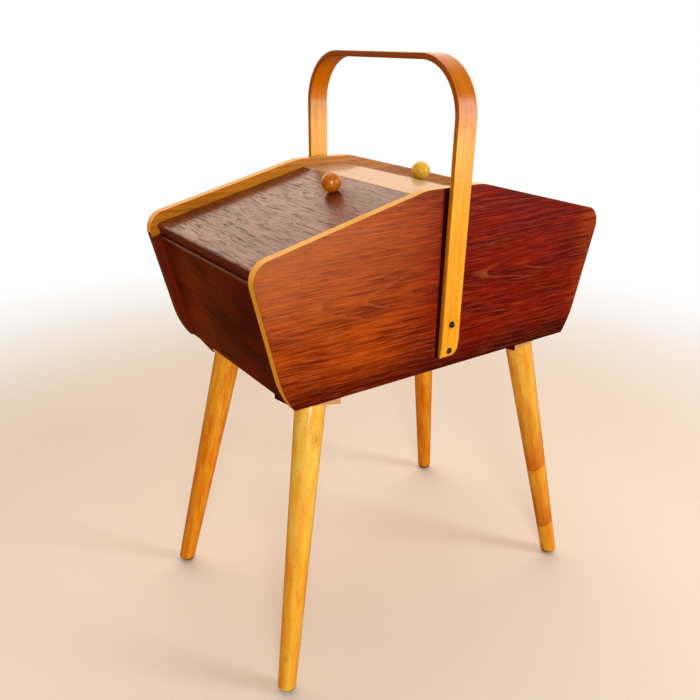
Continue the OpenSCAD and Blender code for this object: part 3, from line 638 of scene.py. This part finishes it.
def painted_bend_shade(tree, colour):
    """Painted shade: the bends and the stretch between them are drawn darker."""
    place = add(tree, "Attribute", attribute_name="grain").outputs["Vector"]
    along = add(tree, "SeparateXYZ", {0: place}).outputs["X"]
    along = add(tree, "Math", {0: along}, operation="ABSOLUTE").outputs[0]
    share = add(tree, "MapRange", {"Value": along, "From Min": BEND_SHADE_FROM, "From Max": BEND_SHADE_TO},
                interpolation_type="SMOOTHSTEP").outputs[0]
    return add(tree, "Mix", {"Factor": share, "A": colour, "B": linear(BEND_SHADE)},
               data_type="RGBA", blend_type="MULTIPLY").outputs["Result"]


STRAP_KNOT = ((-132, -9, 128), 4.5)
# A thick golden lacquer that shines in patches, where it hasn't sunk into the bent fibres.
golden_strap = wood("golden lacquered bent beech", "#FFC22E", "#E48C0C", "#9A5412",
                    follows_piece=True, ring=5, ring_share=0.2, heart=(0, 12, 100),
                    tilt=(0, 0, radians(0.6)), wander=2, streak_share=0.35, fibre=(30, 1.0),
                    fibre_share=0.3, pore=(3.5, 0.7), pore_share=0.35, pore_limit=0.66,
                    patch=(90, 12), patch_share=0.45, knots=(STRAP_KNOT,),
                    roughness=0.3, specular=0.15, coat=0.6, coat_roughness=0.22, groove=0.1,
                    coat_follows=True, tint=painted_bend_shade)
# On the sawn sides the same lacquer is drawn amber and dull; the darker amber is partly painted
# shade.
strap_side_partly_shaded = wood("amber strap side, partly painted shade", "#D88C24", "#A0560C", "#7A3C0A", follows_piece=True,
                  ring=5, ring_share=0.2, heart=(0, 12, 100), streak_share=0.4, fibre_share=0.3,
                  roughness=0.35, specular=0.15, coat=0.2, tint=painted_bend_shade)
SIDE_ON = 0.8
for face in strap.data.polygons:
    face.material_index = 1 if abs(face.normal.x) > SIDE_ON else 0
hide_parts("handle")
shaded(strap, "box", "lacquered_wood", golden_strap, strap_side_partly_shaded)

# Handle screws. Two blackened steel screws with slotted domed heads in each end of the strap.
# Black oxide over steel: almost black, with a small glint on each dome.
black_steel = mottled("blackened steel", "#120907", "#2A1710", 1.5 * MM, 3.0, (0.25, 0.45),
                      **{"Metallic": 0.1, "Specular IOR Level": 0.3})
SCREW_EASE = 0.15 * MM
shaded(eased("handle_screws", "domed_handle_screws", SCREW_EASE, 2), "box", "black_steel",
       black_steel)

# Legs. Four turned and tapered legs of beech under the same golden lacquer, which is thick
# enough to run. Their different tones are painted light and shade: the front left leg is drawn
# lighter and the back legs darker. A few small knots were left in.
LEG_STEPS = 56
LEG_TOP_R = 15.5 * MM
LEG_FOOT_R = 9.5 * MM
LEG_ROUND = 2 * MM
BOTTOM_H = 320 * MM
BLOCK_T = 13 * MM
LEG_IN_X = 44 * MM
LEG_IN_Y = 32.5 * MM
LEG_TOP = Vector((HALF_LEN - (CORNER_H - BOTTOM_H) * tan(LEAN) - LEG_IN_X, HALF_DEPTH - LEG_IN_Y,
                  BOTTOM_H - BLOCK_T))
LEG_OUT = Vector((59.5, 42.5, 0)) * MM
BLOCK_EASE = 0.8 * MM
GLIDE_R = 12 * MM
GLIDE_WEAR = 0.4 * MM
GLIDE_D = 16 * MM
leg_axis = Vector((LEG_OUT.x, LEG_OUT.y, -LEG_TOP.z))
leg_len = (leg_axis.length * (1 - (GLIDE_R - GLIDE_WEAR) / LEG_TOP.z)
           + (GLIDE_R ** 2 - (GLIDE_D / 2) ** 2) ** 0.5)
LEG_KNOTS = (((-36, 9, 12), 6.0), ((-275, 10, 1), 3.0), ((776, -11, 9), 2.5))
FOOT_END_DARK = "#2E1206"
FOOT_END_DARK_Z = (7 * MM, 3.5 * MM)
FOOT_END_DARK_MOST = 0.85
LACQUER_RUN = "#F8DC98"
LACQUER_RUN_Z = (260 * MM, 130 * MM)
LACQUER_RUN_MOST = 0.8


def lacquer_run_and_dark_feet(tree, colour):
    """The lacquer ran down and lies thicker there, and the ends of the feet are drawn darker."""
    height = add(tree, "SeparateXYZ", {0: add(tree, "TexCoord").outputs["Object"]}).outputs["Z"]
    run = add(tree, "MapRange", {"Value": height, "From Min": LACQUER_RUN_Z[0],
                                 "From Max": LACQUER_RUN_Z[1], "To Max": LACQUER_RUN_MOST},
              interpolation_type="SMOOTHSTEP").outputs[0]
    colour = add(tree, "Mix", {"Factor": run, "A": colour, "B": linear(LACQUER_RUN)},
                 data_type="RGBA", blend_type="MULTIPLY").outputs["Result"]
    darkened_end = add(tree, "MapRange", {"Value": height, "From Min": FOOT_END_DARK_Z[0],
                                  "From Max": FOOT_END_DARK_Z[1], "To Max": FOOT_END_DARK_MOST}).outputs[0]
    return add(tree, "Mix", {"Factor": darkened_end, "A": colour, "B": linear(FOOT_END_DARK)},
               data_type="RGBA").outputs["Result"]


LEG_SPACING = 400 * MM
BANDS = ((-60 * MM, -173 * MM), (-185 * MM, -262 * MM))
BAND_SLANT = (1, -0.4, -0.3)
BAND_AMBER = "#D8944C"
BAND_MOST = 0.65
BAND_FADES = (-3 * MM, 1 * MM)
BAND_RIM = "#8A3C08"
BAND_RIM_MOST = 0.3
BAND_RIM_HALF_W = 1.2 * MM


def banded(tree, colour):
    """Two runs of lacquer on one leg, each darker towards its lower rim, which slants."""
    colour = lacquer_run_and_dark_feet(tree, colour)
    place = add(tree, "Attribute", attribute_name="grain").outputs["Vector"]
    along = add(tree, "VectorMath", {0: place, 1: BAND_SLANT},
                operation="DOT_PRODUCT").outputs["Value"]
    for start, end in BANDS:
        start, end = start + LEG_SPACING, end + LEG_SPACING
        amber = add(tree, "MapRange", {"Value": along, "From Min": start, "From Max": end,
                                       "To Max": BAND_MOST}).outputs[0]
        above = add(tree, "MapRange", {"Value": along, "From Min": end + BAND_FADES[0],
                                       "From Max": end + BAND_FADES[1]}).outputs[0]
        rim = add(tree, "Math", {0: along, 1: end, 2: BAND_RIM_HALF_W},
                  operation="COMPARE").outputs[0]
        amber = add(tree, "Math", {0: amber, 1: above}, operation="MULTIPLY").outputs[0]
        colour = add(tree, "Mix", {"Factor": amber, "A": colour, "B": linear(BAND_AMBER)},
                     data_type="RGBA", blend_type="MULTIPLY").outputs["Result"]
        rim = add(tree, "Math", {0: rim, 1: BAND_RIM_MOST}, operation="MULTIPLY").outputs[0]
        colour = add(tree, "Mix", {"Factor": rim, "A": colour, "B": linear(BAND_RIM)},
                     data_type="RGBA").outputs["Result"]
    return colour


# Three tones of one lacquer, painted light and shade: golden for the lit front left leg, amber
# for the shaded back legs and a banded one for the front right, under a clear coat that gives
# each leg a long soft reflection.
lit_and_shaded_leg_woods = {}
for tone, light, dark, tint in (("golden", "#FFE468", "#F8A824", lacquer_run_and_dark_feet),
                                ("banded", "#FFD858", "#F09418", banded),
                                ("amber", "#FFC038", "#DC780A", lacquer_run_and_dark_feet)):
    lit_and_shaded_leg_woods[tone] = wood(f"{tone} lacquered turned beech", light, dark, "#93450C",
                           follows_piece=True, ring=7, ring_share=0.15, heart=(0, 4, 9),
                           tilt=(0, 0, radians(2)), wander=3, streak=(110, 3.5),
                           streak_share=0.3, fibre=(20, 1.0), fibre_share=0.3, pore=(4, 0.9),
                           pore_share=0.5, pore_limit=0.64, patch=(60, 14), patch_share=0.7,
                           knots=LEG_KNOTS, roughness=0.3, specular=0.15, coat=0.7,
                           coat_roughness=0.1, groove=0.03, tint=tint)
# Painted light and shade: which copy of the lacquer each leg takes.
leg_light_and_shade = {"front_left": "golden", "front_right": "banded",
         "rear_left": "amber", "rear_right": "amber"}
for number, (place, sx, sy) in enumerate((("front_left", -1, -1), ("front_right", 1, -1),
                                          ("rear_left", -1, 1), ("rear_right", 1, 1))):
    shape = bmesh.new()
    outline = [shape.verts.new((r, 0, z)) for r, z in (
        (0, 0), (LEG_TOP_R, 0), (LEG_FOOT_R, -leg_len), (0, -leg_len))]
    edges = [shape.edges.new(pair) for pair in zip(outline, outline[1:])]
    bmesh.ops.spin(shape, geom=[*outline, *edges], cent=(0, 0, 0), axis=(0, 0, 1), dvec=(0, 0, 0),
                   angle=2 * pi, space=Matrix.Identity(4), steps=LEG_STEPS, use_merge=True,
                   use_normal_flip=False, use_duplicate=False)
    bmesh.ops.remove_doubles(shape, verts=shape.verts, dist=MERGE)
    bmesh.ops.recalc_face_normals(shape, faces=shape.faces)
    ends = [e for e in shape.edges if e.is_manifold and e.calc_face_angle() > SHARP_CORNER]
    bmesh.ops.bevel(shape, geom=[e for e in ends if e.verts[0].co.z < -LEG_TOP_R],
                    offset=LEG_ROUND, offset_type="OFFSET", segments=4, profile=0.5,
                    affect="EDGES", material=-1)
    leg = linked(shape, f"{place}_turned_leg")
    marked(leg, lambda co: Vector((co.z + LEG_SPACING * number, co.x, co.y)))
    axis = Vector((sx * leg_axis.x, sy * leg_axis.y, leg_axis.z))
    top = Vector((sx * LEG_TOP.x, sy * LEG_TOP.y, LEG_TOP.z))
    turn = (-axis).to_track_quat("Z", "X").to_matrix().to_4x4()
    leg.data.transform(Matrix.Translation(top) @ turn)
    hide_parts(f"leg_{place}")
    shaded(leg, "box", "lacquered_wood", lit_and_shaded_leg_woods[leg_light_and_shade[place]])
    block = eased(f"leg_block_{place}", f"{place}_leg_block", BLOCK_EASE)
    # Each leg block's faces towards the ends of the box take the dark end-panel teak.
    for face in block.data.polygons:
        face.material_index = 1 if abs(face.normal.x) > SQUARE_ON else 0
    shaded(block, "box", "pale_wood", pale_board, dark_teak)

# Bolts, inserts and screws between the legs and the box. Zinc-plated steel and brass.
# Plated steel: pale grey and fairly bright, with faint dull spots.
zinc = mottled("zinc-plated steel", "#B9B9BC", "#8E8E92", 2 * MM, 3.0, 0.35, Metallic=1.0)
for node, finish in (("leg_bolts", zinc), ("leg_block_screws", zinc), ("knob_screw_left", zinc),
                     ("knob_screw_right", zinc), ("leg_inserts", brass)):
    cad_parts[node].data.materials.clear()
    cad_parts[node].data.materials.append(finish)

# Glides. A domed dark nylon button is nailed under each foot, and the floor has worn its middle.
# Nylon: dark brown, half dull and finely scuffed, so that it reads as a dark rim to the foot.
nylon = mottled("moulded brown nylon", "#2E1810", "#4A2A1A", 1 * MM, 4.0, 0.5,
                bump=0.05 * MM, IOR=1.53)
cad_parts["leg_glides"].data.materials.clear()
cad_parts["leg_glides"].data.materials.append(nylon)

# Floor. A pale matt floor that fades into the white room. Only the camera sees it pale: to the
# light that it throws back on the box it is as brown as a wooden table.
FADE_FROM = 0.55
FADE_TO = 1.5
FLOOR_HALF = 20
floor_paint = bpy.data.materials.new("pale matt floor")
floor_paint.use_nodes = True
tree = floor_paint.node_tree
tree.nodes.clear()
path = add(tree, "LightPath").outputs
away = add(tree, "VectorMath", {0: add(tree, "TexCoord").outputs["Object"]}, operation="LENGTH")
fade = add(tree, "MapRange", {"Value": away.outputs["Value"], "From Min": FADE_FROM,
                              "From Max": FADE_TO}, interpolation_type="SMOOTHSTEP").outputs[0]
seen = add(tree, "Math", {0: fade, 1: path["Is Camera Ray"]}, operation="MULTIPLY").outputs[0]
paint = add(tree, "Mix", {"Factor": path["Is Camera Ray"], "A": linear("#A8743C"),
                          "B": linear("#F4EBDD")}, data_type="RGBA").outputs["Result"]
matt = add(tree, "BsdfPrincipled", {"Base Color": paint, "Roughness": 0.8})
white = add(tree, "Emission", {"Color": linear("#FFFFFF"), "Strength": 1.0})
mixed = add(tree, "MixShader", {0: seen, 1: matt.outputs[0], 2: white.outputs[0]})
add(tree, "OutputMaterial", {"Surface": mixed.outputs[0]})
shape = bmesh.new()
bmesh.ops.create_grid(shape, x_segments=1, y_segments=1, size=FLOOR_HALF)
floor = linked(shape, "studio_floor")
floor.data.materials.append(floor_paint)

# Light. Two tall soft windows in front of the box, one on each side, a dim ceiling above it, and
# a warm room whose wall behind the box is brighter than the rest.
WALL_WAY = (0.40, 0.88, 0.25)
WALL_EDGE = 0.35
WALL_FULL = 0.9
WALL_LIGHT = 1.9
ROOM_LIGHT = 0.22
world = bpy.data.worlds.new("white room")
bpy.context.scene.world = world
world.use_nodes = True
tree = world.node_tree
tree.nodes.clear()
path = add(tree, "LightPath").outputs
facing = add(tree, "VectorMath", {0: add(tree, "TexCoord").outputs["Generated"], 1: WALL_WAY},
             operation="DOT_PRODUCT").outputs["Value"]
level = add(tree, "MapRange", {"Value": facing, "From Min": WALL_EDGE, "From Max": WALL_FULL,
                               "To Min": ROOM_LIGHT, "To Max": WALL_LIGHT},
            interpolation_type="SMOOTHSTEP").outputs[0]
room = add(tree, "Background", {"Color": linear("#FFE2CA"), "Strength": level})
backdrop = add(tree, "Background", {"Color": linear("#FFFFFF"), "Strength": 1.0})
mixed = add(tree, "MixShader", {0: path["Is Camera Ray"], 1: room.outputs[0],
                                2: backdrop.outputs[0]})
add(tree, "OutputWorld", {"Surface": mixed.outputs[0]})
AIM = Vector((0, 0, 0.38))
for name, place, width, height, watts in (("right window", (1.45, -1.75, 0.85), 0.7, 1.4, 25),
                                          ("left window", (-1.15, -1.85, 0.8), 0.6, 1.2, 26),
                                          ("ceiling", (0.2, 0.3, 2.4), 1.6, 1.6, 9)):
    lamp = bpy.data.lights.new(name, "AREA")
    lamp.shape, lamp.size, lamp.size_y, lamp.energy = "RECTANGLE", width, height, watts
    lamp_object = bpy.data.objects.new(name, lamp)
    lamp_object.location = place
    lamp_object.rotation_mode = "QUATERNION"
    lamp_object.rotation_quaternion = (AIM - lamp_object.location).to_track_quat("-Z", "Y")
    bpy.context.scene.collection.objects.link(lamp_object)

# Camera. It stands off the front left corner, level with the top of the handle, and looks down
# on the box. Its place, turns and lens were fitted to the outlines of the box in the photo.
CAMERA_PLACE = (-0.4896, -0.6371, 0.6330)
CAMERA_TURN = radians(-35.37)
CAMERA_DOWN = radians(22.74)
CAMERA_ROLL = radians(0.81)
CAMERA_LENS = 37.73
CAMERA_FILM = 36
camera = bpy.data.objects.new("camera", bpy.data.cameras.new("camera"))
camera.data.lens = CAMERA_LENS
camera.data.sensor_width = CAMERA_FILM
turned = Matrix.Rotation(CAMERA_TURN, 4, "Z") @ Matrix.Rotation(pi / 2 - CAMERA_DOWN, 4, "X")
camera.matrix_world = (Matrix.Translation(CAMERA_PLACE) @ turned
                       @ Matrix.Rotation(CAMERA_ROLL, 4, "Z"))
bpy.context.scene.collection.objects.link(camera)
bpy.context.scene.camera = camera
bpy.context.scene.view_settings.view_transform = "Standard"
